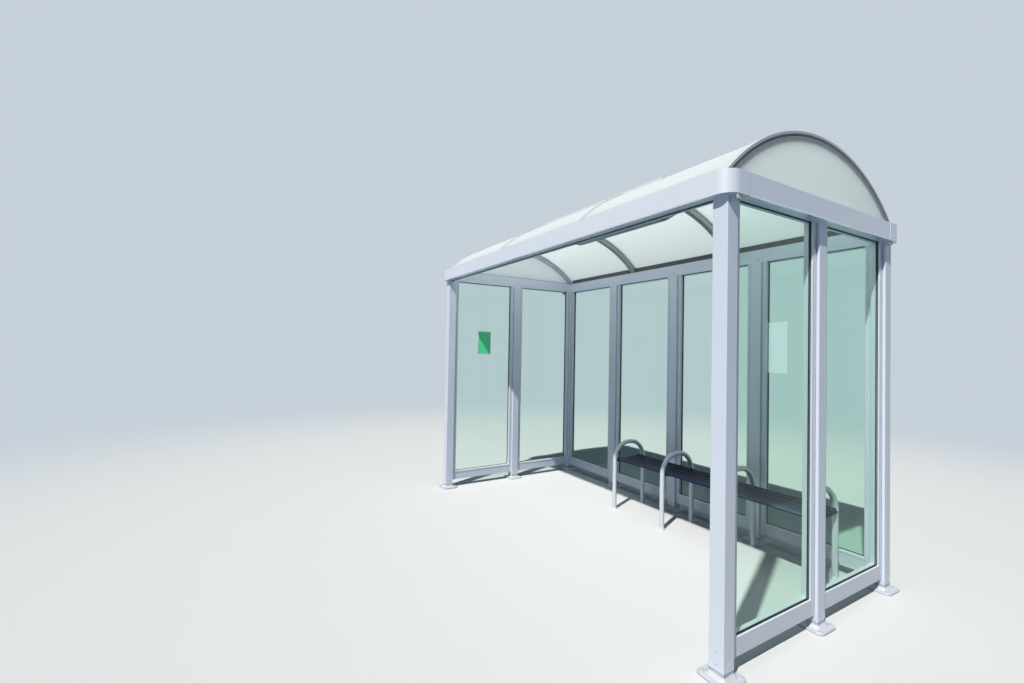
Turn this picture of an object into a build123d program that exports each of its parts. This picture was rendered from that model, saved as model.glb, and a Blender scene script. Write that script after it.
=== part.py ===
from build123d import *
import math
import os

# Bus shelter: nine square posts, glazed rear and end walls, an open front,
# a barrel-vaulted roof on four arched ribs, and a slatted bench.
# Millimetres, +Z up. The front is on -Y and the length runs along X.
# The origin is on the ground, at the centre of the post grid.

# Post grid
bay = 787.4
rear_bay_count = 4
end_bay_count = 2
post_side = 76.2
post_wall = 3.2
post_corner = 3.0
post_cap_thick = 3.2

# Base shoe under each post
shoe_side = 160.0
shoe_thick = 12.0
shoe_corner = 30.0
shoe_edge = 4.0
shoe_stub_height = 40.0
shoe_flare = 20.0
shoe_flare_height = 14.0
shoe_flare_corner = 42.0
spigot_height = 110.0
spigot_clearance = 0.4
anchor_spacing = 114.0
anchor_radius = 6.5

# Header ring on top of the posts
header_underside = 2150.0
header_height = 100.0
header_depth = 62.0
header_wall = 3.2
header_groove_spare = 2.0
header_shoulder_height = 22.0
header_shoulder_in = 6.0

# Gutter along the header's outer face, whose front is the fascia
gutter_out = 36.0
gutter_height = 107.0
gutter_wall = 3.5
gutter_lip = 11.0
gutter_back_height = 88.0
gutter_corner_radius = 70.0
gutter_corner_leg = 140.0

# Glazed bays
frame_depth = 44.0
frame_setback = 16.0
stile_width = 36.0
rail_clear = 75.0
rail_height = 86.0
glass_thick = 6.0
glass_behind_face = 12.0
glass_bite = 8.0
gasket_thick = 3.0
gasket_show = 3.0
gasket_bite = 6.0

# Vaulted roof
arch_half_chord = 800.0
arch_rise = 318.0
sheet_thick = 6.0
rib_count = 4
rib_width = 40.0
rib_depth = 42.0
rib_web = 8.0
rib_cap_width = 52.0
rib_cap_thick = 5.0
eave_height = 43.0
eave_inset = 14.0
eave_bite = 8.0
sheet_foot_rise = 7.0
infill_thick = 6.0
infill_recess = 3.0
end_rim = 13.0

# Panel on the crest
crest_panel_length = 1400.0
crest_panel_width = 420.0
crest_panel_thick = 32.0
crest_panel_rise = 11.0
bracket_width = 40.0
bracket_length = 60.0
bracket_rib_gap = 53.0

# Ceiling light under the crest
light_length = 1200.0
light_width = 160.0
light_height = 66.0
light_top = 2501.0
light_slope_height = 33.0
light_end_slope = 100.0
light_side_slope = 14.0
hanger_width = 60.0
hanger_length = 30.0

# Bench
hoop_count = 4
hoop_spacing = 550.0
hoop_depth = 360.0
bench_end_gap = 177.9
bench_back_gap = 91.0
hoop_tube = 38.0
hoop_wall = 3.0
hoop_height = 618.0
hoop_flat = 30.0
foot_radius = 30.0
foot_thick = 6.0
seat_height = 462.0
slat_count = 5
slat_thick = 22.0
slat_gap = 10.0
slat_end = 20.0
slat_round = 4.0
seat_side_clearance = 4.0
seat_dish_radius = 900.0
strap_thick = 8.0
strap_width = 50.0

# Notice board and notice plate
board_width = 136.0
board_height = 382.0
board_thick = 4.0
board_bottom = 1302.0
board_gap_to_post = 42.0
plate_width = 154.0
plate_height = 248.0
plate_thick = 2.0
plate_bottom = 1385.0
plate_offset = -390.0

# Overrun of a cutting shape past the face that it cuts
overcut = 1.0

# Values that follow from the sizes above
half_x = rear_bay_count * bay / 2
half_y = end_bay_count * bay / 2
outer_x = half_x + post_side / 2
outer_y = half_y + post_side / 2
header_top = header_underside + header_height
gutter_top = header_underside + gutter_height
glass_axis_in = frame_setback + glass_behind_face + glass_thick / 2
half_groove = glass_thick / 2 + gasket_thick
frame_inner_x = outer_x - frame_setback - frame_depth
frame_inner_y = outer_y - frame_setback - frame_depth
arch_radius = (arch_half_chord ** 2 + arch_rise ** 2) / (2 * arch_rise)
arch_spring = header_top + eave_height - eave_bite
arch_axis_z = arch_spring + arch_rise - arch_radius
sheet_foot = header_top + sheet_foot_rise
sheet_inner = arch_radius - sheet_thick
rib_inner = sheet_inner - rib_depth
cap_radius = arch_radius + rib_cap_thick
infill_radius = cap_radius - end_rim
rib_spacing = 2 * (outer_x - rib_width / 2) / (rib_count - 1)
rib_x = [-outer_x + rib_width / 2 + i * rib_spacing for i in range(rib_count)]
crest_top = arch_axis_z + arch_radius
panel_low = crest_top + crest_panel_rise
hoop_rear_y = frame_inner_y - bench_back_gap
hoop_front_y = hoop_rear_y - hoop_depth
hoop_last_x = frame_inner_x - bench_end_gap
hoop_x = [hoop_last_x - (hoop_count - 1 - i) * hoop_spacing for i in range(hoop_count)]
hoop_bend = (hoop_depth - hoop_flat) / 2
hoop_bend_z = hoop_height - hoop_tube / 2 - hoop_bend

os.makedirs("parts", exist_ok=True)


def save(name, solids):
    shape = solids[0] if len(solids) == 1 else Compound(children=solids)
    shape.label = name
    export_step(shape, f"parts/{name}.step")


def block(x, y, z):
    """A box between two limits on each axis."""
    sizes = [hi - lo for lo, hi in (x, y, z)]
    middle = [(hi + lo) / 2 for lo, hi in (x, y, z)]
    return Pos(*middle) * Box(*sizes)


def wall_places():
    """Each wall as its name, its turn about Z and its distance from the origin."""
    return (("rear", 0, outer_y, rear_bay_count), ("left", 90, outer_x, end_bay_count),
            ("right", -90, outer_x, end_bay_count))


def on_wall(shape, turn, distance):
    """Carry a shape from the wall's own frame: x along, y out from the outer face."""
    return Rot(0, 0, turn) * (Pos(0, distance, 0) * shape)


# Posts and their shoes

def post_grid():
    places = {"post_front_left": (-half_x, -half_y), "post_front_right": (half_x, -half_y),
              "post_end_left": (-half_x, 0), "post_end_right": (half_x, 0)}
    for i in range(rear_bay_count + 1):
        places[f"post_rear_{i + 1}"] = (-half_x + i * bay, half_y)
    return places


def post():
    """Square tube from the shoe's stub to the header, closed at the top by a cap."""
    outer = RectangleRounded(post_side, post_side, post_corner)
    inner = Rectangle(post_side - 2 * post_wall, post_side - 2 * post_wall)
    length = header_underside - shoe_stub_height
    cap = Pos(0, 0, length - post_cap_thick) * extrude(inner, post_cap_thick)
    return Pos(0, 0, shoe_stub_height) * (extrude(outer - inner, length) + cap)


def shoe():
    """Cast shoe: anchor plate, flared stub under the post and a spigot inside it."""
    plate = extrude(RectangleRounded(shoe_side, shoe_side, shoe_corner), shoe_thick)
    plate = chamfer(plate.edges().group_by(Axis.Z)[-1], shoe_edge)
    rise = shoe_stub_height - shoe_thick
    stub = extrude(RectangleRounded(post_side, post_side, post_corner), rise)
    flare_side = post_side + 2 * shoe_flare
    flare_bottom = RectangleRounded(flare_side, flare_side, shoe_flare_corner)
    flare_top = Pos(0, 0, shoe_flare_height) * RectangleRounded(post_side, post_side, post_corner)
    flare = loft([flare_bottom, flare_top])
    spigot_side = post_side - 2 * post_wall - 2 * spigot_clearance
    spigot = Pos(0, 0, rise) * extrude(Rectangle(spigot_side, spigot_side), spigot_height)
    holes = GridLocations(anchor_spacing, anchor_spacing, 2, 2) * Cylinder(anchor_radius, 4 * shoe_thick)
    plate = plate - holes
    return plate + Pos(0, 0, shoe_thick) * (stub + flare + spigot)


# Header ring

def beam_section():
    """Hollow beam with the glazing groove below and a shoulder along its inner top edge.
    Here and in the gutter x is inward from the posts' outer face and y is up."""
    near = glass_axis_in - half_groove
    far = glass_axis_in + half_groove
    groove_top = header_underside + glass_bite + header_groove_spare
    step_in = header_depth - header_shoulder_in
    step_low = header_top - header_shoulder_height
    outline = Polyline((0, header_underside), (near, header_underside), (near, groove_top),
                       (far, groove_top), (far, header_underside), (header_depth, header_underside),
                       (header_depth, step_low), (step_in, step_low), (step_in, header_top),
                       (0, header_top), close=True)
    outer = make_face(outline)
    return outer - offset(outer, -header_wall, kind=Kind.INTERSECTION)


def gutter_section():
    """Trough with a low back against the beam and a lip turned in along the fascia's top."""
    floor = header_underside + gutter_wall
    back_top = header_underside + gutter_back_height
    inner = -gutter_out + gutter_wall
    lip = -gutter_out + gutter_lip
    outline = Polyline((0, header_underside), (-gutter_out, header_underside), (-gutter_out, gutter_top),
                       (lip, gutter_top), (lip, gutter_top - gutter_wall), (inner, gutter_top - gutter_wall),
                       (inner, floor), (-gutter_wall, floor), (-gutter_wall, back_top), (0, back_top),
                       close=True)
    return make_face(outline)


def wall_run(section, half_length, turn, distance):
    """Run a section both ways along one side of the ring."""
    along = Plane(origin=(0, 0, 0), x_dir=(0, -1, 0), z_dir=(-1, 0, 0))
    return on_wall(extrude(along * section, half_length, both=True), turn, distance)


def corner_plan(out, radius):
    """L-shaped plan round the posts' outer corner at zero, with its tip rounded."""
    leg = gutter_corner_leg - gutter_out
    outline = Polyline((0, 0), (-leg, 0), (-leg, out), (out, out), (out, -leg), (0, -leg), close=True)
    plan = make_face(outline)
    tip = plan.vertices().sort_by_distance((out, out, 0))[0]
    return fillet(tip, radius)


def corner_piece():
    """Rounded gutter corner, open above, whose legs end where the straight gutters start."""
    solid = extrude(corner_plan(gutter_out, gutter_corner_radius), gutter_height)
    hollow = corner_plan(gutter_out - gutter_wall, gutter_corner_radius - gutter_wall)
    solid = solid - Pos(0, 0, gutter_wall) * extrude(hollow, gutter_height)
    return Pos(0, 0, header_underside) * solid


def corners():
    pieces = []
    for sx, sy, turn in ((1, 1, 0), (-1, 1, 90), (-1, -1, 180), (1, -1, 270)):
        pieces.append(Pos(sx * outer_x, sy * outer_y, 0) * Rot(0, 0, turn) * corner_piece())
    return pieces


# Glazed bays

clear_width = bay - post_side
opening_low = rail_clear + rail_height
opening_width = clear_width - 2 * stile_width


def bay_frame():
    """Two stiles and the bottom rail, with a groove for the glass, open to the header above."""
    depth = (-frame_setback - frame_depth, -frame_setback)
    past_depth = (depth[0] - overcut, depth[1] + overcut)
    past_top = header_underside + overcut
    frame = block((-clear_width / 2, clear_width / 2), depth, (rail_clear, header_underside))
    half_groove_width = opening_width / 2 + glass_bite
    light = block((-opening_width / 2, opening_width / 2), past_depth, (opening_low, past_top))
    groove = block((-half_groove_width, half_groove_width),
                   (-glass_axis_in - half_groove, -glass_axis_in + half_groove),
                   (opening_low - glass_bite, past_top))
    return frame - light - groove


def bay_glass():
    return block((-opening_width / 2 - glass_bite, opening_width / 2 + glass_bite),
                 (-glass_axis_in - glass_thick / 2, -glass_axis_in + glass_thick / 2),
                 (opening_low - glass_bite, header_underside + glass_bite))


def gasket(y):
    """Rubber ring on one face of the glass, gripped in the grooves all round."""
    half_outer = opening_width / 2 + gasket_bite
    half_inner = opening_width / 2 - gasket_show
    outer = block((-half_outer, half_outer), y, (opening_low - gasket_bite, header_underside + gasket_bite))
    inner = block((-half_inner, half_inner), (y[0] - overcut, y[1] + overcut),
                  (opening_low + gasket_show, header_underside - gasket_show))
    return outer - inner


def bay_gaskets():
    near = -glass_axis_in + glass_thick / 2
    far = -glass_axis_in - glass_thick / 2
    return [gasket((near, near + gasket_thick)), gasket((far - gasket_thick, far))]


def bay_centres(count):
    return [(i - (count - 1) / 2) * bay for i in range(count)]


# Roof

def arch_slice(outer, inner, x, floor):
    """Part of a tube about the arch axis, between two radii and above a level."""
    width = x[1] - x[0]
    tube = Cylinder(outer, width, rotation=(0, 90, 0)) - Cylinder(inner, 2 * width, rotation=(0, 90, 0))
    tube = Pos((x[0] + x[1]) / 2, 0, arch_axis_z) * tube
    keep = block((x[0] - overcut, x[1] + overcut), (-outer - overcut, outer + overcut),
                 (floor, arch_axis_z + outer + overcut))
    return tube & keep


def infill_disc(x, radius):
    """Disc about the arch axis between two places along the shelter, cut off at the header."""
    width = x[1] - x[0]
    disc = Pos((x[0] + x[1]) / 2, 0, arch_axis_z) * Cylinder(radius, width, rotation=(0, 90, 0))
    keep = block((x[0] - overcut, x[1] + overcut), (-outer_y, outer_y), (header_top, crest_top))
    return disc & keep


def roof_rib(i):
    """An I section bent to the arch: inner flange, web between two sheets and outer cap.
    An end rib is closed on its outer side and rebated there for the infill."""
    x = rib_x[i]
    flange = [x - rib_width / 2, x + rib_width / 2]
    web = [x - rib_web / 2, x + rib_web / 2]
    cap = [x - rib_cap_width / 2, x + rib_cap_width / 2]
    if i == 0:
        web[0] = cap[0] = flange[0]
        rebate = (flange[0], flange[0] + infill_recess + infill_thick)
    if i == rib_count - 1:
        web[1] = cap[1] = flange[1]
        rebate = (flange[1] - infill_recess - infill_thick, flange[1])
    rib = arch_slice(sheet_inner, rib_inner, flange, header_top)
    rib = rib + arch_slice(arch_radius, sheet_inner, web, sheet_foot)
    rib = rib + arch_slice(cap_radius, arch_radius, cap, sheet_foot)
    if i in (0, rib_count - 1):
        rib = rib - infill_disc(rebate, infill_radius)
    return rib


def roof_sheet(i):
    low_side = rib_x[i] + rib_web / 2
    high_side = rib_x[i + 1] - rib_web / 2
    return arch_slice(arch_radius, sheet_inner, (low_side, high_side), sheet_foot)


def eave_channels():
    """Closers on the header between the ribs, cut to the vault, under each sheet's foot."""
    pieces = []
    for i in range(rib_count - 1):
        x = (rib_x[i] + rib_width / 2, rib_x[i + 1] - rib_width / 2)
        for side in (-1, 1):
            inner_y = outer_y - header_depth + eave_inset
            y = sorted((side * inner_y, side * outer_y))
            strip = block(x, y, (header_top, header_top + eave_height))
            core = Cylinder(sheet_inner, 3 * (x[1] - x[0]), rotation=(0, 90, 0))
            pieces.append(strip & (Pos(0, 0, arch_axis_z) * core))
    return pieces


def end_infills():
    """White sheet closing each end of the vault, in the end rib's rebate and on the header."""
    outer = outer_x - infill_recess
    inner = outer - infill_thick
    return [infill_disc((-outer, -inner), infill_radius), infill_disc((inner, outer), infill_radius)]


# Crest panel and ceiling light

def crest_panel():
    return block((-crest_panel_length / 2, crest_panel_length / 2),
                 (-crest_panel_width / 2, crest_panel_width / 2), (panel_low, panel_low + crest_panel_thick))


def crest_brackets():
    """Four feet between the vault's sheet and the underside of the panel."""
    pieces = []
    from_rib = rib_cap_width / 2 + bracket_rib_gap + bracket_length / 2
    vault = Pos(0, 0, arch_axis_z) * Cylinder(arch_radius, 2 * outer_x, rotation=(0, 90, 0))
    for cx in (rib_x[1] - from_rib, rib_x[-2] + from_rib):
        for sy in (-1, 1):
            cy = sy * (crest_panel_width / 2 - bracket_width)
            foot = block((cx - bracket_length / 2, cx + bracket_length / 2),
                         (cy - bracket_width / 2, cy + bracket_width / 2),
                         (arch_axis_z, panel_low))
            pieces.append(foot - vault)
    return pieces


def ceiling_light():
    """A tray with sloped ends and sides, hung from the middle ribs."""
    low = light_top - light_height
    edge = low + light_slope_height
    bottom = Pos(0, 0, low) * Rectangle(light_length - 2 * light_end_slope, light_width - 2 * light_side_slope)
    top = Pos(0, 0, edge) * Rectangle(light_length, light_width)
    lid = block((-light_length / 2, light_length / 2), (-light_width / 2, light_width / 2), (edge, light_top))
    return loft([bottom, top]) + lid


def light_hangers():
    """Straps from the light's top up to the inner flange of the two middle ribs."""
    pieces = []
    core = Pos(0, 0, arch_axis_z) * Cylinder(rib_inner, 2 * outer_x, rotation=(0, 90, 0))
    for x in rib_x[1:-1]:
        strap = block((x - hanger_length / 2, x + hanger_length / 2), (-hanger_width / 2, hanger_width / 2),
                      (light_top, crest_top))
        pieces.append(strap & core)
    return pieces


# Bench

def hoop():
    """Tube bent nearly to a half circle over two legs, each ending in a round foot."""
    radius = hoop_tube / 2
    top = hoop_height - radius
    path = FilletPolyline((0, hoop_front_y, foot_thick), (0, hoop_front_y, top),
                          (0, hoop_rear_y, top), (0, hoop_rear_y, foot_thick), radius=hoop_bend)
    start = Plane(origin=(0, hoop_front_y, foot_thick), z_dir=(0, 0, 1))
    tube = sweep(start * Circle(radius), path=path)
    bore = sweep(start * Circle(radius - hoop_wall), path=path)
    tube = tube - bore
    for y in (hoop_front_y, hoop_rear_y):
        tube = tube + Pos(0, y, foot_thick / 2) * Cylinder(foot_radius, foot_thick)
    return tube


def leg_inside(z):
    """Half the clear distance between a hoop's legs at a level."""
    over = max(0.0, z - hoop_bend_z)
    return hoop_flat / 2 + math.sqrt((hoop_bend - hoop_tube / 2) ** 2 - over ** 2)


seat_mid_y = (hoop_front_y + hoop_rear_y) / 2
seat_depth = 2 * (leg_inside(seat_height) - seat_side_clearance)
slat_width = (seat_depth + slat_gap) / slat_count - slat_gap
dish_sag = seat_dish_radius - math.sqrt(seat_dish_radius ** 2 - (seat_depth / 2) ** 2)
dish_axis_z = seat_height - slat_thick - dish_sag + seat_dish_radius


def seat_slats():
    """Slats laid side by side on the dished straps, running past the end hoops."""
    pieces = []
    length = hoop_x[-1] - hoop_x[0] + 2 * slat_end
    middle_x = (hoop_x[-1] + hoop_x[0]) / 2
    under = math.sqrt(seat_dish_radius ** 2 - (slat_width / 2) ** 2)
    step = math.degrees((slat_width + slat_gap) / seat_dish_radius)
    for i in range(slat_count):
        slat = Pos(0, 0, -under + slat_thick / 2) * Box(length, slat_width, slat_thick)
        slat = fillet(slat.edges().filter_by(Axis.X), slat_round)
        turned = Rot((i - (slat_count - 1) / 2) * step, 0, 0) * slat
        pieces.append(Pos(middle_x, seat_mid_y, dish_axis_z) * turned)
    return pieces


def seat_straps():
    """Curved flat bars under the slats, one in each hoop, from leg to leg."""
    pieces = []
    end_level = dish_axis_z - math.sqrt(seat_dish_radius ** 2 - leg_inside(0) ** 2)
    reach = leg_inside(end_level)
    for x in hoop_x:
        outer = Cylinder(seat_dish_radius + strap_thick, strap_width, rotation=(0, 90, 0))
        inner = Cylinder(seat_dish_radius, 2 * strap_width, rotation=(0, 90, 0))
        arc = Pos(x, seat_mid_y, dish_axis_z) * (outer - inner)
        keep = block((x - strap_width, x + strap_width), (seat_mid_y - reach, seat_mid_y + reach),
                     (0, seat_height))
        pieces.append(arc & keep)
    return pieces


# Notices

glass_inner_y = outer_y - glass_axis_in - glass_thick / 2
glass_inner_x = outer_x - glass_axis_in - glass_thick / 2


def notice_board():
    left = half_x - bay + post_side / 2 + board_gap_to_post
    return block((left, left + board_width), (glass_inner_y - board_thick, glass_inner_y),
                 (board_bottom, board_bottom + board_height))


def notice_plate():
    return block((-glass_inner_x, -glass_inner_x + plate_thick),
                 (plate_offset - plate_width / 2, plate_offset + plate_width / 2),
                 (plate_bottom, plate_bottom + plate_height))


# Write every piece

for name, (x, y) in post_grid().items():
    save(name, [Pos(x, y, 0) * post()])
save("base_shoes", [Pos(x, y, 0) * shoe() for x, y in post_grid().values()])

for side, turn, distance, half_beam, half_wall in (
        ("front", 180, outer_y, outer_x, outer_x), ("rear", 0, outer_y, outer_x, outer_x),
        ("left", 90, outer_x, outer_y - header_depth, outer_y),
        ("right", -90, outer_x, outer_y - header_depth, outer_y)):
    half_gutter = half_wall + gutter_out - gutter_corner_leg
    save(f"header_{side}", [wall_run(beam_section(), half_beam, turn, distance)])
    save(f"gutter_{side}", [wall_run(gutter_section(), half_gutter, turn, distance)])
save("fascia_corners", corners())

gaskets = []
for wall, turn, distance, count in wall_places():
    frames = []
    for i, centre in enumerate(bay_centres(count)):
        frames.append(on_wall(Pos(centre, 0, 0) * bay_frame(), turn, distance))
        save(f"glass_{wall}_{i + 1}", [on_wall(Pos(centre, 0, 0) * bay_glass(), turn, distance)])
        gaskets += [on_wall(Pos(centre, 0, 0) * g, turn, distance) for g in bay_gaskets()]
    save(f"frames_{wall}", frames)
save("glazing_gaskets", gaskets)

for i in range(rib_count):
    save(f"roof_rib_{i + 1}", [roof_rib(i)])
for i in range(rib_count - 1):
    save(f"roof_sheet_{i + 1}", [roof_sheet(i)])
save("eave_channels", eave_channels())
save("end_infills", end_infills())
save("crest_panel", [crest_panel()])
save("crest_brackets", crest_brackets())
save("ceiling_light", [ceiling_light()])
save("light_hangers", light_hangers())

for i, x in enumerate(hoop_x):
    save(f"bench_hoop_{i + 1}", [Pos(x, 0, 0) * hoop()])
save("seat_slats", seat_slats())
save("seat_straps", seat_straps())
save("notice_board", [notice_board()])
save("notice_plate", [notice_plate()])
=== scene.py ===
import math
import bmesh
import bpy
from mathutils import Matrix, Vector


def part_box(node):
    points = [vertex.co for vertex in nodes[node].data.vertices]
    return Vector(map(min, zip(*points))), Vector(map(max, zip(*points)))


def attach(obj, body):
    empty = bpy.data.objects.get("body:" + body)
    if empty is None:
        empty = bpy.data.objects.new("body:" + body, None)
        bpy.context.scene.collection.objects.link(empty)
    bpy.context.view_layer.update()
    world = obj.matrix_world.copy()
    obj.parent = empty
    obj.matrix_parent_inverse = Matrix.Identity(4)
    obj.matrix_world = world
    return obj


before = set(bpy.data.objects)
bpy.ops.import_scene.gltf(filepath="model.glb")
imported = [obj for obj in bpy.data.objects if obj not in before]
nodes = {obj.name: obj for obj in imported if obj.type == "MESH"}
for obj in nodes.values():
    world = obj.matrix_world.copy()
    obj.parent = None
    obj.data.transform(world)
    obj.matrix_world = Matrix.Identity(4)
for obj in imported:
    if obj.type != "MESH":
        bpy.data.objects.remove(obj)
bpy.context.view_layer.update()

# Directions, the last one in a side's own frame
UP = Vector((0, 0, 1))
DOWN = Vector((0, 0, -1))
INWARD = Vector((0, -1, 0))

# Camera, from the photograph's viewing point
EYE = Vector((2.8569, -2.6582, 1.4442))
HEADING = math.radians(59.437)
PITCH = math.radians(0.986)
ROLL = math.radians(1.007)
LENS_MM = 15.995
SENSOR_MM = 36.0
CLIP_END = 500

# Surroundings and light. The floor fades into the background from a distance on.
BACKGROUND = (0.57, 0.635, 0.70)
SKY_FILL = (0.38, 0.68, 1.0)
SKY_FILL_STRENGTH = 0.11
FLOOR_SIZE = 240
FLOOR_SEEN = (0.68, 0.69, 0.68)
FLOOR_BOUNCE = (0.09, 0.14, 0.20)
FADE_START = 3.0
FADE_LENGTH = 6.0
SUN_ENERGY = 4.2
SUN_ANGLE = math.radians(1.2)
SUN_COLOUR = (1.0, 0.985, 0.96)
SUN_WAY = Vector((-0.29, 0.70, -1.0))

# Sizes of the CAD that its boxes don't show, in metres: the rounding of the gutters' edges, and
# how deep the panes sit in their frames
GUTTER_SOFT = 0.003
GLASS_BITE = 0.008

# Places taken from the frame
POST_LOW, POST_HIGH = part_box("post_rear_1")
HEADER_LOW, HEADER_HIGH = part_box("header_rear")
GUTTER_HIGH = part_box("gutter_rear")[1]
FRAMES_LOW, FRAMES_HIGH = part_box("frames_rear")
PANE_LOW, PANE_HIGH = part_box("glass_rear_1")
OUTER_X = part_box("post_end_right")[1].x
OUTER_Y = POST_HIGH.y
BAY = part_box("post_rear_2")[0].x - POST_LOW.x
POST_SIDE = POST_HIGH.x - POST_LOW.x
POST_FOOT = POST_LOW.z
UNDERSIDE = HEADER_LOW.z
HEADER_TOP = HEADER_HIGH.z
HEADER_IN = HEADER_HIGH.y - HEADER_LOW.y
GUTTER_OUT = GUTTER_HIGH.y - OUTER_Y
GUTTER_TOP = GUTTER_HIGH.z
FRAME_IN = OUTER_Y - FRAMES_LOW.y
FRAME_FACE = OUTER_Y - FRAMES_HIGH.y
RAIL_LOW = FRAMES_LOW.z
RAIL_TOP = PANE_LOW.z + GLASS_BITE
OPENING_HALF = (PANE_HIGH.x - PANE_LOW.x) / 2 - GLASS_BITE

# The vault's arc, its caps and its ends
ARCH_HALF_CHORD = 0.800
ARCH_RISE = 0.318
ARCH_RADIUS = (ARCH_HALF_CHORD ** 2 + ARCH_RISE ** 2) / (2 * ARCH_RISE)
ARCH_AXIS_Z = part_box("roof_sheet_2")[1].z - ARCH_RADIUS
ARCH_STEPS = 64
SHEET_THICK = 0.006
CAP_RADIUS = ARCH_RADIUS + 0.005
CAP_HALF = 0.026
INFILL_RADIUS = CAP_RADIUS - 0.013
INFILL_FACE = OUTER_X - 0.003

# Anchors and shoes
ANCHOR_SPACING = 0.114
SHOE_THICK = 0.012
WASHER_RADIUS = 0.0105
WASHER_THICK = 0.0016
NUT_ACROSS = 0.0150
NUT_HIGH = 0.0055
STUD_RADIUS = 0.0045
STUD_PROUD = 0.0030
THREAD_PITCH = 0.0015

# Round heads: radius and height
POST_SCREW = (0.0052, 0.0022)
HEADER_BOLT = (0.0070, 0.0050)
CAP_SCREW = (0.0055, 0.0028)
LIGHT_SCREW = (0.0042, 0.0022)
SLAT_BOLT = (0.0075, 0.0030)
FOOT_SCREW = (0.0040, 0.0016)
BOARD_BUTTON = (0.0045, 0.0024)

# Bench
SLAT_COUNT = 5
SLAT_GAP = 0.010
SLAT_THICK = 0.022
DISH_RADIUS = 0.900
HOOP_FOOT_RADIUS = 0.030
HOOP_FOOT_THICK = 0.006

POSTS = [name for name in nodes if name.startswith("post_")]
HOOPS = [f"bench_hoop_{i}" for i in (1, 2, 3, 4)]

# Each side's turn in degrees, and how far the outer face of its posts is from the middle
SIDES = {"rear": (0, OUTER_Y), "front": (180, OUTER_Y),
         "left": (90, OUTER_X), "right": (-90, OUTER_X)}

# The posts along each side, in bays from the side's middle, and the sides that are glazed
POST_STOPS = {"rear": (-2, -1, 0, 1, 2), "left": (-1, 0, 1), "right": (-1, 0, 1), "front": (-2, 2)}
GLAZED = ("rear", "left", "right")


# Shader sockets as Python values

class Wire:
    """A node's output that can be used in an expression."""

    def __init__(self, tree, socket):
        self.tree = tree
        self.socket = socket

    def math(self, operation, *others, clamp=False):
        settings = {"operation": operation, "use_clamp": clamp}
        values = {f"i{place}": value for place, value in enumerate((self, *others))}
        return add_node(self.tree, "ShaderNodeMath", settings, **values)

    def __add__(self, other):
        return self.math("ADD", other)

    def __sub__(self, other):
        return self.math("SUBTRACT", other)

    def __rsub__(self, other):
        return self * -1.0 + other

    def __mul__(self, other):
        return self.math("MULTIPLY", other)

    __rmul__ = __mul__

    def __truediv__(self, other):
        return self.math("DIVIDE", other)

    def __mod__(self, other):
        return self.math("FLOORED_MODULO", other)

    def __gt__(self, other):
        return self.math("GREATER_THAN", other)

    def __lt__(self, other):
        return self.math("LESS_THAN", other)

    def __abs__(self):
        return self.math("ABSOLUTE")

    def clamped(self):
        return self.math("ADD", 0.0, clamp=True)


def join(tree, slot, value):
    """Give a socket a link or a plain value."""
    if isinstance(value, Wire):
        tree.links.new(value.socket, slot)
    else:
        slot.default_value = value


def add_node(tree, kind, settings=None, out=0, **sockets):
    """Any node, its settings first, then its inputs by name (or i0, i1 for a place)."""
    node = tree.nodes.new(kind)
    for key, value in (settings or {}).items():
        setattr(node, key, value)
    for key, value in sockets.items():
        by_place = key[0] == "i" and key[1:].isdigit()
        join(tree, node.inputs[int(key[1:]) if by_place else key], value)
    return Wire(tree, node.outputs[out])


def mix_colours(tree, factor, low, high):
    """Mix two colours, which are inputs 6 and 7 and output 2 of the node."""
    return add_node(tree, "ShaderNodeMix", {"data_type": "RGBA"}, out=2, i0=factor, i6=low, i7=high)


def around(value, centre, spread):
    """Carry a value between 0 and 1 to a band of the given width round a centre."""
    return value * spread + (centre - spread / 2)


def rgba(tone, k=1.0):
    """A tone times k, with full alpha."""
    return (*(c * k for c in tone), 1.0)


class Finish:
    """A material under construction."""

    SOCKETS = {"colour": "Base Color", "rough": "Roughness", "metal": "Metallic",
               "normal": "Normal", "specular": "Specular IOR Level"}

    def __init__(self, name):
        self.material = bpy.data.materials.new(name)
        self.material.use_nodes = True
        self.tree = self.material.node_tree
        self.shader = self.tree.nodes["Principled BSDF"]
        self.surface = Wire(self.tree, self.shader.outputs[0])

    def node(self, kind, settings=None, out=0, **sockets):
        return add_node(self.tree, kind, settings, out, **sockets)

    def place(self):
        """The place on the object, in metres."""
        return self.node("ShaderNodeTexCoord", out="Object")

    def axis(self, letter):
        """One coordinate of the place."""
        return self.node("ShaderNodeSeparateXYZ", out=letter, Vector=self.place())

    def vault_distance(self):
        """The distance of the place from the axis of the vault's arc."""
        y = self.axis("Y")
        z = self.axis("Z") - ARCH_AXIS_Z
        return (y * y + z * z).math("SQRT")

    def noise(self, size, stretch=(1, 1, 1), detail=4.0):
        """Noise with features of about the given size in metres, stretched along the axes."""
        scaled = self.node("ShaderNodeVectorMath", {"operation": "MULTIPLY"},
                           i0=self.place(), i1=stretch)
        return self.node("ShaderNodeTexNoise", Vector=scaled, Scale=1.0 / size, Detail=detail,
                         Roughness=0.55)

    def mix(self, factor, low, high):
        return mix_colours(self.tree, factor, low, high)

    def tones(self, factor, tone, dark, light):
        """A tone that a factor takes from its darker to its lighter share."""
        return self.mix(factor, rgba(tone, dark), rgba(tone, light))

    def bump(self, height, strength, distance):
        return self.node("ShaderNodeBump", Height=height, Strength=strength, Distance=distance)

    def blend(self, factor, first, second):
        """Mix two shaders and make the result the surface."""
        blended = self.node("ShaderNodeMixShader", i0=factor, i1=first, i2=second)
        join(self.tree, self.tree.nodes["Material Output"].inputs["Surface"], blended)

    def set(self, **sockets):
        for key, value in sockets.items():
            join(self.tree, self.shader.inputs[self.SOCKETS[key]], value)


# Finishes

SILVER = (0.82, 0.86, 0.95)

# How metallic the anodised surfaces are
ANODISED_METAL = 0.18

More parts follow.
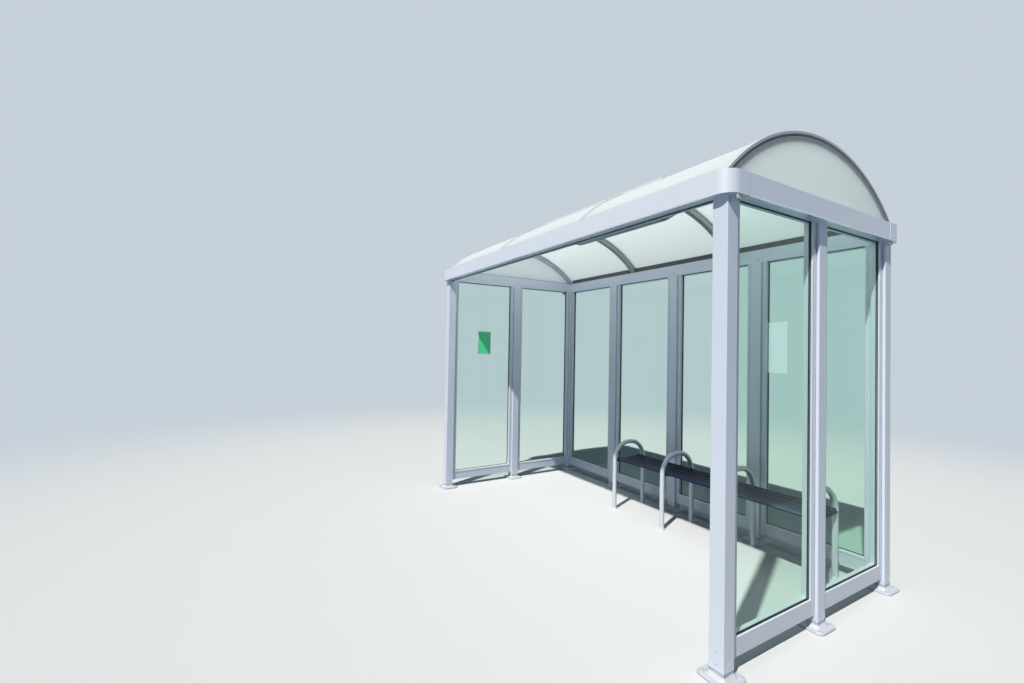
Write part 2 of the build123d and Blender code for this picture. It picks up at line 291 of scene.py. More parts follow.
# How much of the light the inner face of a white sheet lets through
INNER_THROUGH = 0.95

# How much of the full Fresnel gloss the panes show
GLOSS_SHARE = 0.5


def anodised(name, along):
    """Clear anodised extrusion: faint die lines along its length and a cloudy tone."""
    f = Finish(name)
    lines = f.noise(0.0012, [0.004 if axis == along else 1.0 for axis in "XYZ"], detail=2.0)
    cloud = f.noise(0.30, detail=3.0)
    f.set(colour=f.tones((lines * 0.25 + cloud * 0.75).clamped(), SILVER, dark=0.955, light=1.02),
          metal=ANODISED_METAL, rough=around(lines, centre=0.40, spread=0.08),
          normal=f.bump(lines, strength=0.04, distance=0.0003))
    return f.material


def satin_metal(name, tone, rough=0.42, metal=ANODISED_METAL):
    """Satin metal with a cloudy tone and no direction."""
    f = Finish(name)
    grain = f.noise(0.0016, detail=2.0)
    cloud = f.noise(0.25, detail=3.0)
    f.set(colour=f.tones(cloud, tone, dark=0.955, light=1.02), metal=metal,
          rough=around(grain, centre=rough, spread=0.08),
          normal=f.bump(grain, strength=0.03, distance=0.0003))
    return f.material


def painted_glow(material, tone, strength):
    """Paint a faint glow on a pale sheet with emission: painted light standing in for the daylight
    that comes through it.
    """
    shader = material.node_tree.nodes["Principled BSDF"]
    shader.inputs["Emission Color"].default_value = rgba(tone)
    shader.inputs["Emission Strength"].default_value = strength
    return material


def two_tone_rib(name, tone, white_from):
    """Grey anodised up to a radius from the vault's axis, white cap outside it."""
    f = Finish(name)
    outside = f.vault_distance() > white_from
    cloud = f.noise(0.25, detail=3.0)
    grey = f.tones(cloud, tone, dark=0.94, light=1.03)
    white = f.mix(cloud, rgba((0.60, 0.62, 0.65)), rgba((0.63, 0.65, 0.68)))
    f.set(colour=f.mix(outside, grey, white), metal=(1 - outside) * ANODISED_METAL,
          rough=around(cloud, centre=0.42, spread=0.08))
    return f.material


def cast_metal(name, tone, metal=0.12):
    """Blasted casting: fine grain and soft unevenness, darker where it is low."""
    f = Finish(name)
    grain = f.noise(0.0020, detail=5.0)
    swell = f.noise(0.05, detail=2.0)
    f.set(colour=f.tones((grain * 0.6 + swell * 0.4).clamped(), tone, dark=0.86, light=1.02),
          metal=metal, rough=around(grain, centre=0.575, spread=0.15),
          normal=f.bump(grain * 0.7 + swell, strength=0.25, distance=0.0008))
    return f.material


def paint(name, tone, rough):
    """Paint or moulded plastic with a faint orange peel and a slight change of tone."""
    f = Finish(name)
    peel = f.noise(0.004, detail=2.0)
    cloud = f.noise(0.4, detail=3.0)
    f.set(colour=f.tones(cloud, tone, dark=0.95, light=1.02),
          rough=around(peel, centre=rough, spread=0.10),
          normal=f.bump(peel, strength=0.05, distance=0.0005))
    return f.material


def rubber(name):
    """Matt black rubber with a faint grain."""
    f = Finish(name)
    grain = f.noise(0.003, detail=3.0)
    f.set(colour=f.mix(grain, rgba((0.008, 0.012, 0.012)), rgba((0.022, 0.030, 0.028))), rough=0.62,
          normal=f.bump(grain, strength=0.10, distance=0.0004))
    return f.material


def navy_slat(name):
    """Dark powder coat with fine streaks along the slat. Each slat's top has a painted highlight, a
    pale band beside its front edge, and painted shade, black towards its rear edge by the gap."""
    f = Finish(name)
    low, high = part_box("seat_slats")
    pitch = (high.y - low.y + SLAT_GAP) / SLAT_COUNT
    across = ((f.axis("Y") - (low.y - SLAT_GAP / 2)) / pitch) % 1.0
    top_start, pale_end, black_start = 0.09, 0.22, 0.70
    # Painted highlight: a pale band on the top beside each slat's front edge.
    front = ((pale_end - across) * 14.0).clamped() * (across > top_start)
    # Painted shade: the top goes black towards the rear edge, by the gap.
    rear = ((across - black_start) * 12.0).clamped()
    streak = f.noise(0.004, (0.03, 1.0, 1.0))
    highlight_break = f.noise(0.05, (0.3, 1.0, 1.0))
    base = f.mix(streak, rgba((0.004, 0.006, 0.016)), rgba((0.010, 0.013, 0.032)))
    highlighted_top = f.mix(front * (highlight_break * 0.6 + 0.4), base, rgba((0.15, 0.19, 0.33)))
    f.set(colour=f.mix(rear, highlighted_top, rgba((0.002, 0.003, 0.006))), specular=0.10,
          rough=around(streak, centre=0.525, spread=0.15),
          normal=f.bump(streak, strength=0.12, distance=0.0006))
    return f.material


def clear_glass(name, tint):
    """Thin pane: see-through with a faint green tint, and a softened gloss on its near faces."""
    f = Finish(name)
    fresnel = f.node("ShaderNodeFresnel", IOR=1.50)
    behind = f.node("ShaderNodeNewGeometry", out="Backfacing")
    smear = f.noise(0.6, (1, 1, 0.25))
    clear = f.node("ShaderNodeBsdfTransparent", Color=rgba(tint))
    f.set(colour=rgba((0.92, 0.97, 0.95)), metal=1.0,
          rough=around(smear, centre=0.025, spread=0.03))
    f.blend((fresnel * (1 - behind) * GLOSS_SHARE).clamped(), clear, f.surface)
    return f.material


def vault_white(name, tone, glow_tone, through, inner_side=None):
    """Translucent white sheet. The sun meets its outer face, where part of the light goes
    through. The inner face, marked by a mask, only spreads the light that has passed."""
    f = Finish(name)
    cloud = f.noise(0.5, detail=3.0)
    f.set(colour=f.tones(cloud, tone, dark=0.97, light=1.0), rough=0.50, specular=0.25)
    glow = f.node("ShaderNodeBsdfTranslucent", Color=rgba(glow_tone))
    if inner_side is not None:
        through = inner_side(f) * (INNER_THROUGH - through) + through
    f.blend(through, f.surface, glow)
    return f.material


def under_the_sheet(f):
    """One on the concave face of a roof sheet."""
    return f.vault_distance() < ARCH_RADIUS - SHEET_THICK / 2


def inside_the_infill(f):
    """One on the face of an end infill that looks into the shelter."""
    return abs(f.axis("X")) < INFILL_FACE - SHEET_THICK / 2


MATERIALS = {
    "upright": anodised("anodised_upright", "Z"),
    "along_x": anodised("anodised_along_x", "X"),
    "along_y": anodised("anodised_along_y", "Y"),
    "frame": satin_metal("anodised_frame", (0.79, 0.82, 0.89)),
    "fascia": satin_metal("anodised_fascia", (0.88, 0.91, 0.985), rough=0.36),
    "bright": satin_metal("bright_edge", (0.90, 0.92, 0.96), rough=0.26, metal=0.9),
    "cast": cast_metal("cast_aluminium", (0.60, 0.62, 0.66)),
    "rib": two_tone_rib("rib_grey_and_white", (0.42, 0.45, 0.45), ARCH_RADIUS - 0.001),
    "rib_end": two_tone_rib("end_rib_grey_and_white", (0.50, 0.54, 0.62), CAP_RADIUS - 0.0006),
    "tube": satin_metal("satin_tube", (0.80, 0.82, 0.87), rough=0.36, metal=0.25),
    "glass": clear_glass("safety_glass", (0.885, 0.962, 0.925)),
    "rubber": rubber("glazing_rubber"),
    "eave": paint("eave_dark", (0.115, 0.110, 0.106), rough=0.45),
    "roof": vault_white("translucent_roof", (0.88, 0.895, 0.905), (0.975, 1.0, 0.985),
                        through=0.42, inner_side=under_the_sheet),
    "infill": vault_white("translucent_infill", (0.96, 0.985, 0.98), (0.965, 0.99, 0.98),
                          through=0.62, inner_side=inside_the_infill),
    "panel": paint("crest_white", (0.76, 0.78, 0.80), rough=0.35),
    "light": satin_metal("light_grey", (0.34, 0.39, 0.37), rough=0.45),
    "lens": vault_white("light_lens", (0.80, 0.84, 0.82), (0.80, 0.84, 0.82), through=0.30),
    "slat": navy_slat("navy_slat"),
    "strap": paint("black_strap", (0.012, 0.012, 0.014), rough=0.45),
    # The board carries a painted glow, a faint emission for the daylight through it.
    "board": painted_glow(satin_metal("pale_board", (0.90, 1.0, 0.985), rough=0.50, metal=0.85),
                    (0.85, 1.0, 0.98), strength=0.16),
    "green": paint("green_plate", (0.14, 0.92, 0.40), rough=0.4),
    "pale_edge": paint("pale_edge", (0.74, 0.77, 0.75), rough=0.45),
    "zinc": cast_metal("zinc_fixings", (0.62, 0.64, 0.68), metal=0.5),
    # Dark joint lines, also used for painted shade at the posts' feet, in the weep holes and beside
    # the posts.
    "seam_and_shade": paint("dark_seam_and_shade", (0.09, 0.10, 0.12), rough=0.6),
    "sealant": paint("grey_sealant", (0.50, 0.53, 0.57), rough=0.55),
    "white_plastic": paint("white_plastic", (0.86, 0.88, 0.88), rough=0.4),
}

# The start of a node's name and its material. The first that fits counts.
NODE_RULES = (
    ("post_", "upright"), ("header_front", "along_x"), ("header_rear", "along_x"),
    ("header_", "along_y"), ("gutter_", "fascia"), ("fascia_", "fascia"), ("frames_", "frame"),
    ("glass_", "glass"), ("glazing_", "rubber"), ("base_shoes", "cast"), ("roof_rib_1", "rib_end"),
    ("roof_rib_4", "rib_end"), ("roof_rib", "rib"), ("roof_sheet", "roof"), ("eave_", "eave"),
    ("end_", "infill"), ("crest_panel", "panel"), ("crest_", "cast"), ("ceiling_", "light"),
    ("light_", "rib"), ("bench_hoop", "tube"), ("seat_slats", "slat"), ("seat_straps", "strap"),
    ("notice_board", "board"), ("notice_plate", "green"))


def dress_frame_nodes():
    """Give every node of the frame its material."""
    for name, obj in nodes.items():
        key = next(key for start, key in NODE_RULES if name.startswith(start))
        obj.data.materials.clear()
        obj.data.materials.append(MATERIALS[key])


# Mesh making

def finish_mesh(name, bm, key, smooth=True):
    """Turn a mesh under construction into a piece with a material, hung under the root body."""
    bmesh.ops.recalc_face_normals(bm, faces=bm.faces)
    mesh = bpy.data.meshes.new(name)
    bm.to_mesh(mesh)
    bm.free()
    for face in mesh.polygons:
        face.use_smooth = smooth
    if smooth:
        mesh.set_sharp_from_angle(angle=math.radians(35))
    mesh.materials.append(MATERIALS[key])
    obj = bpy.data.objects.new(name, mesh)
    bpy.context.scene.collection.objects.link(obj)
    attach(obj, "root")


def skin(bm, rings, closed=False):
    """Faces from ring to ring, and over both ends unless the last ring joins the first."""
    pairs = list(zip(rings, rings[1:]))
    if closed:
        pairs.append((rings[-1], rings[0]))
    count = len(rings[0])
    for first, second in pairs:
        for i in range(count):
            j = (i + 1) % count
            bm.faces.new((first[i], first[j], second[j], second[i]))
    if not closed:
        bm.faces.new(list(reversed(rings[0])))
        bm.faces.new(rings[-1])


def lathe(bm, profile, place, sides):
    """Turn (radius, height) points about the local Z axis, closing the ends."""
    turns = [2 * math.pi * i / sides for i in range(sides)]
    rings = []
    for radius, height in profile:
        points = [(radius * math.cos(turn), radius * math.sin(turn), height) for turn in turns]
        rings.append([bm.verts.new(place @ Vector(point)) for point in points])
    skin(bm, rings)


def sweep(bm, profile, stations, closed=False):
    """Carry a closed profile of (out, up) points through stations of (point, out, up)."""
    rings = []
    for point, out, up in stations:
        rings.append([bm.verts.new(Vector(point) + Vector(out) * a + Vector(up) * b)
                      for a, b in profile])
    skin(bm, rings, closed)


def station(place, point, out, up=UP):
    """A station of a sweep, given in a side's own frame."""
    spin = place.to_3x3()
    return place @ Vector(point), spin @ Vector(out), spin @ Vector(up)


def bar(bm, low, high, bevel, place=Matrix()):
    """Bar with rounded edges between two corners of its own frame."""
    low, high = Vector(low), Vector(high)
    shape = Matrix.Translation((low + high) / 2) @ Matrix.Diagonal((*(high - low), 1.0))
    made = bmesh.ops.create_cube(bm, size=1.0, matrix=place @ shape)
    edges = dict.fromkeys(edge for vert in made["verts"] for edge in vert.link_edges)
    bmesh.ops.bevel(bm, geom=list(edges), offset=bevel, segments=2, profile=0.5, affect="EDGES")


def rim(bm, low, high, along, edge, bevel):
    """Four bars inside the outline of a flat upright box, whose length is the axis `along`."""
    start, end = low[along], high[along]
    spans = ((start, start + edge, low.z, high.z), (end - edge, end, low.z, high.z),
             (start + edge, end - edge, low.z, low.z + edge),
             (start + edge, end - edge, high.z - edge, high.z))
    for begin, finish, foot, top in spans:
        first, last = low.copy(), high.copy()
        first[along], last[along] = begin, finish
        first.z, last.z = foot, top
        bar(bm, first, last, bevel)


def facing(point, normal):
    """A frame at a point with local Z along the normal."""
    turn = Vector(normal).to_track_quat("Z", "Y").to_matrix().to_4x4()
    return Matrix.Translation(Vector(point)) @ turn


def screw(bm, place, size):
    """Low domed head with a recess in the middle."""
    radius, high = size
    shape = ((1.0, 0.0), (1.0, 0.35), (0.85, 0.75), (0.55, 1.0),
             (0.42, 1.0), (0.36, 0.55), (0.05, 0.5))
    lathe(bm, [(radius * a, high * b) for a, b in shape], place, sides=12)


def side_place(name):
    """A side's own frame: x along, y out from the posts' outer face."""
    turn, distance = SIDES[name]
    return Matrix.Rotation(math.radians(turn), 4, "Z") @ Matrix.Translation((0, distance, 0))


def middle(node):
    """The middle of a node's box."""
    low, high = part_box(node)
    return (low + high) / 2


# Fixings on posts, shoes and header

def anchor(bm, point):
    """Washer, hexagon nut and the threaded end of a stud."""
    place = facing(point, UP)
    washer = ((WASHER_RADIUS, 0), (WASHER_RADIUS, WASHER_THICK * 0.7),
              (WASHER_RADIUS * 0.95, WASHER_THICK), (WASHER_RADIUS * 0.4, WASHER_THICK))
    lathe(bm, washer, place, sides=20)
    nut_radius = NUT_ACROSS / math.sqrt(3)
    chamfer = 0.0015
    top = WASHER_THICK + NUT_HIGH
    nut = ((nut_radius, WASHER_THICK), (nut_radius, top - chamfer), (nut_radius * 0.86, top),
           (STUD_RADIUS, top))
    lathe(bm, nut, place, sides=6)
    thread = []
    for i in range(int(STUD_PROUD / THREAD_PITCH)):
        low = top + i * THREAD_PITCH
        thread += [(STUD_RADIUS * 0.86, low), (STUD_RADIUS, low + THREAD_PITCH / 2)]
    thread += [(STUD_RADIUS * 0.8, top + STUD_PROUD), (STUD_RADIUS * 0.1, top + STUD_PROUD)]
    lathe(bm, thread, place, sides=10)


def anchors():
    """Four anchors on each shoe's plate."""
    bm = bmesh.new()
    half = ANCHOR_SPACING / 2
    for post in POSTS:
        centre = middle(post)
        for sx in (-1, 1):
            for sy in (-1, 1):
                anchor(bm, (centre.x + sx * half, centre.y + sy * half, SHOE_THICK))
    finish_mesh("anchor_bolts", bm, "zinc")


def post_foot(post):
    """The middle of a post at the level where it stands on its shoe."""
    centre = middle(post)
    return Vector((centre.x, centre.y, POST_FOOT))


def post_faces():
    """The foot of each side of every post, with the side's outward direction."""
    for post in POSTS:
        for normal in ((0, -1, 0), (0, 1, 0), (-1, 0, 0), (1, 0, 0)):
            yield post_foot(post) + Vector(normal) * (POST_SIDE / 2), Vector(normal)


def post_screws():
    """Two screws low on each face of each post."""
    bm = bmesh.new()
    for foot, normal in post_faces():
        for rise in (0.030, 0.085):
            screw(bm, facing(foot + UP * rise, normal), POST_SCREW)
    finish_mesh("post_screws", bm, "zinc")


def post_seats():
    """Dark shadow line where each post stands on its shoe."""
    bm = bmesh.new()
    corner = 0.003
    sunk, proud, low, high = -0.001, 0.0003, -0.0011, 0.0007
    profile = ((sunk, low), (proud, low), (proud, high), (sunk, high))
    for post in POSTS:
        outline = []
        for quarter, (sx, sy) in enumerate(((1, 1), (-1, 1), (-1, -1), (1, -1))):
            hub = post_foot(post) + Vector((sx, sy, 0)) * (POST_SIDE / 2 - corner)
            for step in range(4):
                turn = math.radians(quarter * 90 + step * 30)
                way = Vector((math.cos(turn), math.sin(turn), 0))
                outline.append((hub + way * corner, way, UP))
        sweep(bm, profile, outline, closed=True)
    finish_mesh("post_seats", bm, "seam_and_shade")


def weep_holes():
    """A small dark disc near one edge of each side of the shoe's stub: painted shade for the inside
    of a drain hole.
    """
    bm = bmesh.new()
    drop = 0.008
    aside = POST_SIDE * 0.36
    profile = ((0.0028, -0.0005), (0.0028, 0.0004), (0.0021, 0.0006), (0.0004, 0.0006))
    for foot, normal in post_faces():
        hole = foot - UP * drop + normal.cross(UP) * aside
        lathe(bm, profile, facing(hole, normal), sides=12)
    finish_mesh("weep_holes", bm, "seam_and_shade")


def header_bolts():
    """Button bolts through the header's inner face, over each post or beside it at a corner."""
    bm = bmesh.new()
    level = UNDERSIDE + 0.021
    beside = POST_SIDE * 0.62
    for name, stops in POST_STOPS.items():
        for stop in stops:
            x = stop * BAY
            if stop in (stops[0], stops[-1]):
                x -= math.copysign(beside, x)
            screw(bm, side_place(name) @ facing((x, -HEADER_IN, level), INWARD), HEADER_BOLT)
    finish_mesh("header_bolts", bm, "zinc")


# Glazing

def bays():
    """The side's own frame and the middle of each glazed bay."""
    for name in GLAZED:
        for stop in POST_STOPS[name][:-1]:
            yield side_place(name), (stop + 0.5) * BAY


def snap_beads():
    """Snap-in glazing beads round each pane on the inside, mitred at the foot."""
    bm = bmesh.new()
    wide = 0.017
    proud = 0.0030
    profile = ((0.0, 0.0), (0.0, proud * 0.6), (0.0012, proud), (wide - 0.0035, proud),
               (wide, 0.0006), (wide, 0.0))
    route = ((-1, UNDERSIDE, (-1, 0, 0)), (-1, RAIL_TOP, (-1, 0, -1)),
             (1, RAIL_TOP, (1, 0, -1)), (1, UNDERSIDE, (1, 0, 0)))
    for place, x in bays():
        sweep(bm, profile, [station(place, (x + side * OPENING_HALF, -FRAME_IN, z), out, INWARD)
                            for side, z, out in route])
    finish_mesh("snap_beads", bm, "frame", smooth=False)


def upright_lines(name, reach, half, proud, top):
    """Dark upright lines on both faces of the frames, at a reach either way from each bay's
    middle, and from the foot of the rail to a level."""
    bm = bmesh.new()
    for place, x in bays():
        for line in (x - reach, x + reach):
            for face in (-FRAME_FACE, -FRAME_IN):
                bar(bm, (line - half, face - proud, RAIL_LOW + 0.001),
                    (line + half, face + proud, top), bevel=0.0001, place=place)
    finish_mesh(name, bm, "seam_and_shade", smooth=False)


def frame_joints():
    """Fine butt joints where the bottom rail meets the stiles."""
    upright_lines("frame_joints", OPENING_HALF, half=0.0004, proud=0.0003, top=RAIL_TOP - 0.006)


def post_joints_and_shade():
    """Dark line between each post and the frames beside it: the joint, and painted shade where the
    post's side stands proud of the frames.
    """
    half = 0.0012
    upright_lines("post_joints_and_shade", (BAY - POST_SIDE) / 2 - half, half, proud=0.0004,
                  top=UNDERSIDE - 0.001)


# Gutter and header trims

def gutter_reach(name):
    """Half the length of a side's gutter."""
    low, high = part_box(f"gutter_{name}")
    return max(high - low) / 2


def fascia_seams():
    """Joints where the end gutters meet the rounded corners: a fine line in front, a raised
    strip at the rear."""
    fine = bmesh.new()
    raised = bmesh.new()
    line = ((0.004, UNDERSIDE), (GUTTER_OUT - GUTTER_SOFT, UNDERSIDE),
            (GUTTER_OUT, UNDERSIDE + GUTTER_SOFT), (GUTTER_OUT, GUTTER_TOP - GUTTER_SOFT),
            (GUTTER_OUT - GUTTER_SOFT, GUTTER_TOP), (GUTTER_OUT - 0.010, GUTTER_TOP))
    centre = Vector((GUTTER_OUT / 2, (UNDERSIDE + GUTTER_TOP) / 2))
    sunk = -0.0006
    for name in ("left", "right"):
        for x in (-gutter_reach(name), gutter_reach(name)):
            stations = []
            for y, z in line:
                away = (Vector((y, z)) - centre).normalized()
                stations.append(station(side_place(name), (x, y, z), (1, 0, 0), (0, *away)))
            at_rear = stations[0][0].y > 0
            bm, half, proud = (raised, 0.0060, 0.0055) if at_rear else (fine, 0.0008, 0.0005)
            profile = ((-half, sunk), (half, sunk), (half, proud * 0.8), (half * 0.8, proud),
                       (-half * 0.8, proud), (-half, proud * 0.8))
            sweep(bm, profile, stations)
    finish_mesh("fascia_seams", fine, "sealant", smooth=False)
    finish_mesh("fascia_strips", raised, "panel", smooth=False)


def gutter_edges():
    """Bright cover on the rounded lower edge of each gutter, between the corners."""
    bm = bmesh.new()
    outer = GUTTER_SOFT + 0.0004
    inner = GUTTER_SOFT - 0.0006
    under, face = 0.0070, 0.0055
    short_of_corner = 0.004
    arc = [math.radians(15 * i) for i in range(7)]

    def bend(radius, turns):
        return [(radius * math.sin(turn) - GUTTER_SOFT, GUTTER_SOFT - radius * math.cos(turn))
                for turn in turns]

    profile = [(-under, GUTTER_SOFT - outer), *bend(outer, arc),
               (outer - GUTTER_SOFT, face), (inner - GUTTER_SOFT, face),
               *bend(inner, reversed(arc)), (-under, GUTTER_SOFT - inner)]
    for name in SIDES:
        reach = gutter_reach(name) - short_of_corner
        sweep(bm, profile, [station(side_place(name), (x, GUTTER_OUT, UNDERSIDE), (0, 1, 0))
                            for x in (-reach, reach)])
    finish_mesh("gutter_edges", bm, "bright")


def groove_seals():
    """Black strip that closes the front header's glazing groove, where no glass stands."""
    bm = bmesh.new()
    near = FRAME_FACE + 0.008
    far = FRAME_FACE + 0.022
    lip = 0.003
    top, hollow, foot = UNDERSIDE + 0.0005, UNDERSIDE - 0.0018, UNDERSIDE - 0.0030
    profile = ((-near, top), (-near, foot), (-near - lip, hollow), (-far + lip, hollow),
               (-far, foot), (-far, top))
    sweep(bm, profile, [station(side_place("front"), (x, 0, 0), (0, 1, 0))
                        for x in (-2 * BAY, 2 * BAY)])
    finish_mesh("groove_seals", bm, "rubber", smooth=False)


def drain_outlets():
    """White spout and tab under each end gutter, near its front and its rear corner."""
    bm = bmesh.new()
    drop = 0.026
    radius = 0.0115
    profile = ((radius * 1.4, 0.0), (radius * 1.4, 0.002), (radius, 0.003), (radius * 0.94, drop),
               (radius * 0.72, drop), (radius * 0.66, 0.004), (radius * 0.08, 0.004))
    spout_x = OUTER_X + GUTTER_OUT * 0.60
    tab_x = OUTER_X + GUTTER_OUT * 0.86
    tab_thin, tab_half, tab_drop = 0.0015, 0.021, 0.024
    front_y, rear_y = -0.787, 0.738
    for side in (-1, 1):
        for y in (front_y, rear_y):
            lathe(bm, profile, facing((side * spout_x, y, UNDERSIDE), DOWN), sides=20)
            bar(bm, (-tab_thin, -tab_half, -tab_drop), (tab_thin, tab_half, 0.0), bevel=0.0008,
                place=Matrix.Translation((side * tab_x, y, UNDERSIDE)))
    finish_mesh("drain_outlets", bm, "white_plastic")


# Vault

def on_arch(x, turn, radius):
    """A point of the vault, with the turn in radians from the crest towards the rear."""
    return Vector((x, radius * math.sin(turn), ARCH_AXIS_Z + radius * math.cos(turn)))


def arch_reach(radius, level):
    """The turn at which an arc comes down to a level."""
    return math.acos((level - ARCH_AXIS_Z) / radius)


def arch_strip(bm, profile, x, radius, level):
    """Run a profile of (out, along the shelter) points over the vault down to a level."""
    reach = arch_reach(radius, level)
    stations = []
    for i in range(ARCH_STEPS + 1):
        turn = -reach + 2 * reach * i / ARCH_STEPS
        stations.append((on_arch(x, turn, radius), (0, math.sin(turn), math.cos(turn)), (1, 0, 0)))
    sweep(bm, profile, stations)


def cap_seals():
    """Grey seals along both edges of the two middle caps and inside the end caps."""
    bm = bmesh.new()
    half = 0.0018
    profile = ((-0.0004, -half), (-0.0004, half), (0.0014, 0.0012), (0.0018, 0.0),
               (0.0014, -0.0012))
    places = [middle(rib).x + side * (CAP_HALF + half)
              for rib in ("roof_rib_2", "roof_rib_3") for side in (-1, 1)]
    places += [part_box("roof_rib_1")[1].x + half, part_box("roof_rib_4")[0].x - half]
    for x in places:
        arch_strip(bm, profile, x, ARCH_RADIUS, HEADER_TOP + 0.009)
    finish_mesh("cap_seals", bm, "sealant")


def cap_screws():
    """Screws down the middle of each rib's cap, close to each foot and then evenly."""
    bm = bmesh.new()
    above_foot = 0.022
    spacing = 0.26
    reach = arch_reach(CAP_RADIUS, HEADER_TOP + 0.007) - above_foot / CAP_RADIUS
    count = round(2 * reach * CAP_RADIUS / spacing)
    for i in (1, 2, 3, 4):
        x = middle(f"roof_rib_{i}").x
        for k in range(count + 1):
            turn = -reach + 2 * reach * k / count
            normal = (0, math.sin(turn), math.cos(turn))
            screw(bm, facing(on_arch(x, turn, CAP_RADIUS), normal), CAP_SCREW)
    finish_mesh("cap_screws", bm, "zinc")


def infill_trims():
    """Seal round each infill's rim on the outside and a small angle along its foot inside."""
    bm = bmesh.new()
    sunk, proud, half = -0.0015, 0.0004, 0.0010
    seal = ((sunk, -half), (proud, -half), (proud, half), (sunk, half))
    angle = ((0.0, 0.0), (0.0, 0.012), (0.0012, 0.012), (0.0020, 0.0020), (0.010, 0.0012),
             (0.010, 0.0))
    angle_x = OUTER_X - 0.040
    angle_reach = 0.752
    for side in (-1, 1):
        arch_strip(bm, seal, side * INFILL_FACE, INFILL_RADIUS, HEADER_TOP + 0.0005)
        sweep(bm, angle, [((side * angle_x, y, HEADER_TOP), (-side, 0, 0), UP)
                          for y in (-angle_reach, angle_reach)])
    finish_mesh("infill_trims", bm, "sealant", smooth=False)


def crest_cover():
    """Folded frame round the top of the panel on the crest."""
    low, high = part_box("crest_panel")
    bm = bmesh.new()
    lip = 0.020
    thick = 0.0016
    depth = 0.006
    proud = 0.0008
    top = high.z - 0.0020
    profile = ((-proud, -depth), (-proud, 0.0), (0.0002, thick - 0.0004), (0.0012, thick),
               (lip - 0.002, thick), (lip, 0.0), (lip, -depth))
    corners = ((low.x, low.y, (1, 1, 0)), (high.x, low.y, (-1, 1, 0)),
               (high.x, high.y, (-1, -1, 0)), (low.x, high.y, (1, -1, 0)))
    sweep(bm, profile, [((x, y, top), inward, UP) for x, y, inward in corners], closed=True)
    finish_mesh("crest_panel_frame", bm, "panel", smooth=False)


def light_fittings():
    """Lens, end and side joints and screws of the ceiling light."""
    low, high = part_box("ceiling_light")
    slope = 0.100
    lens_end = slope + 0.04
    lens_half = 0.047
    bm = bmesh.new()
    bar(bm, (low.x + lens_end, -lens_half, low.z - 0.0030),
        (high.x - lens_end, lens_half, low.z + 0.001), bevel=0.0012)
    finish_mesh("light_lens", bm, "lens")

    bm = bmesh.new()
    proud = 0.0006
    thin = 0.0012
    end_half, side_half = 0.064, 0.080
    screw_aside, screw_half = 0.018, 0.045
    for x in (low.x + slope, high.x - slope):
        bar(bm, (x - thin, -end_half, low.z - proud), (x + thin, end_half, low.z + proud),
            bevel=0.0003)
        for y in (-screw_half, screw_half):
            screw_x = x - math.copysign(screw_aside, x)
            screw(bm, facing((screw_x, y, low.z), DOWN), LIGHT_SCREW)
    for y in (-side_half, side_half):
        bar(bm, (low.x, y - proud, low.z + 0.0360), (high.x, y + proud, low.z + 0.0385),
            bevel=0.0003)
    finish_mesh("light_joints", bm, "strap")


# Bench

def slat_bolts():
    """Domed bolts that hold the slats on the straps at every hoop."""
    bm = bmesh.new()
    low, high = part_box("seat_slats")
    pitch = (high.y - low.y) / SLAT_COUNT
    for hoop in HOOPS:
        hub = Vector((middle(hoop).x, (low.y + high.y) / 2, low.z + DISH_RADIUS))
        for k in range(SLAT_COUNT):
            tilt = math.asin((k - (SLAT_COUNT - 1) / 2) * pitch / DISH_RADIUS)
            normal = Vector((0, -math.sin(tilt), math.cos(tilt)))
            screw(bm, facing(hub - normal * (DISH_RADIUS - SLAT_THICK), normal), SLAT_BOLT)
    finish_mesh("slat_bolts", bm, "strap")


def foot_screws():
    """Two screws in each round foot of the hoops, and a weld bead round each leg."""
    screws = bmesh.new()
    welds = bmesh.new()
    aside = 0.0245
    weld = ((0.0190, 0.0), (0.0232, 0.0), (0.0226, 0.0016), (0.0208, 0.0032), (0.0190, 0.0042))
    for hoop in HOOPS:
        low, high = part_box(hoop)
        x = (low.x + high.x) / 2
        for y in (low.y + HOOP_FOOT_RADIUS, high.y - HOOP_FOOT_RADIUS):
            for side in (-1, 1):
                screw(screws, facing((x + side * aside, y, HOOP_FOOT_THICK), UP), FOOT_SCREW)
            lathe(welds, weld, facing((x, y, HOOP_FOOT_THICK), UP), sides=24)
    finish_mesh("foot_screws", screws, "zinc")
    finish_mesh("foot_welds", welds, "cast")


# Notices

def board_trim():
    """Pale edge strip round the blank notice board and four buttons in its corners."""
    low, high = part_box("notice_board")
    bm = bmesh.new()
    proud, sunk = 0.0012, 0.0005
    rim(bm, Vector((low.x, low.y - proud, low.z)), Vector((high.x, low.y + sunk, high.z)),
        along=0, edge=0.007, bevel=0.0005)
    for x in (low.x + 0.016, high.x - 0.016):
        for z in (low.z + 0.018, high.z - 0.018):
            screw(bm, facing((x, low.y, z), INWARD), BOARD_BUTTON)
    # The trim takes the board's material, painted glow included.
    finish_mesh("board_trim", bm, "board")


def plate_trim():
    """Narrow pale border round the plain green plate."""
    low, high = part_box("notice_plate")
    bm = bmesh.new()
    proud, sunk = 0.0006, 0.0004
    rim(bm, Vector((high.x - sunk, low.y, low.z)), Vector((high.x + proud, high.y, high.z)),
        along=1, edge=0.006, bevel=0.0002)
    finish_mesh("plate_trim", bm, "pale_edge")


# Stage, light and camera

def seen_directly(tree):
    """One where a camera, glossy or transmission ray arrives."""
    straight, glossy, passed = (add_node(tree, "ShaderNodeLightPath", out=f"Is {kind} Ray")
                                for kind in ("Camera", "Glossy", "Transmission"))
    return straight.math("MAXIMUM", glossy).math("MAXIMUM", passed)


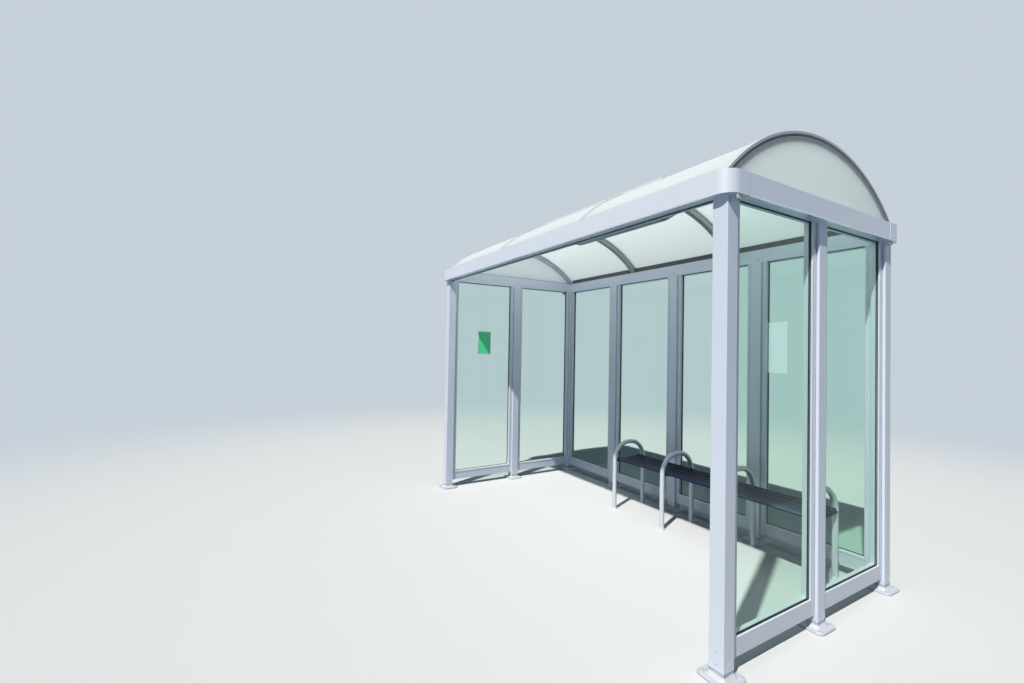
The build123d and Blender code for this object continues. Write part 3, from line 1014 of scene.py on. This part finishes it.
def floor():
    """Pale ground that fades into the background. It gives back less light, and bluer light,
    than its own tone would."""
    bpy.ops.mesh.primitive_plane_add(size=FLOOR_SIZE)
    ground = bpy.context.object
    ground.name = "floor"
    f = Finish("pale_floor")
    seen = seen_directly(f.tree)
    f.set(colour=f.mix(seen, rgba(FLOOR_BOUNCE), rgba(FLOOR_SEEN)), rough=0.9, specular=0.0)
    away = f.node("ShaderNodeVectorMath", {"operation": "LENGTH"}, out="Value", i0=f.place())
    far = ((away - FADE_START) / FADE_LENGTH).clamped()
    plain = f.node("ShaderNodeEmission", Color=rgba(BACKGROUND))
    f.blend(far * far * (3 - 2 * far) * seen, f.surface, plain)
    ground.data.materials.append(f.material)


def studio():
    """Plain background, a weaker blue fill from all round, and one sun."""
    scene = bpy.context.scene
    scene.world = bpy.data.worlds.new("studio")
    scene.world.use_nodes = True
    tree = scene.world.node_tree
    back = tree.nodes["Background"]
    seen = seen_directly(tree)
    join(tree, back.inputs["Color"], mix_colours(tree, seen, rgba(SKY_FILL), rgba(BACKGROUND)))
    join(tree, back.inputs["Strength"], seen * (1 - SKY_FILL_STRENGTH) + SKY_FILL_STRENGTH)

    key = bpy.data.lights.new("key", "SUN")
    key.energy = SUN_ENERGY
    key.angle = SUN_ANGLE
    key.color = SUN_COLOUR
    obj = bpy.data.objects.new("key", key)
    scene.collection.objects.link(obj)
    obj.rotation_mode = "QUATERNION"
    obj.rotation_quaternion = SUN_WAY.to_track_quat("-Z", "Y")


def camera():
    """The photograph's viewing point and lens."""
    data = bpy.data.cameras.new("view")
    data.sensor_width = SENSOR_MM
    data.lens = LENS_MM
    data.clip_end = CLIP_END
    obj = bpy.data.objects.new("view", data)
    bpy.context.scene.collection.objects.link(obj)
    forward = Vector((-math.sin(HEADING) * math.cos(PITCH), math.cos(HEADING) * math.cos(PITCH),
                      math.sin(PITCH)))
    level = forward.cross(UP).normalized()
    right = math.cos(ROLL) * level + math.sin(ROLL) * level.cross(forward)
    turn = Matrix((right, right.cross(forward), -forward)).transposed()
    obj.matrix_world = Matrix.Translation(EYE) @ turn.to_4x4()
    bpy.context.scene.camera = obj


dress_frame_nodes()
anchors()
post_screws()
post_seats()
weep_holes()
header_bolts()
snap_beads()
frame_joints()
post_joints_and_shade()
fascia_seams()
gutter_edges()
groove_seals()
drain_outlets()
cap_seals()
cap_screws()
infill_trims()
crest_cover()
light_fittings()
slat_bolts()
foot_screws()
board_trim()
plate_trim()
floor()
studio()
camera()
bpy.context.scene.view_settings.view_transform = "Standard"
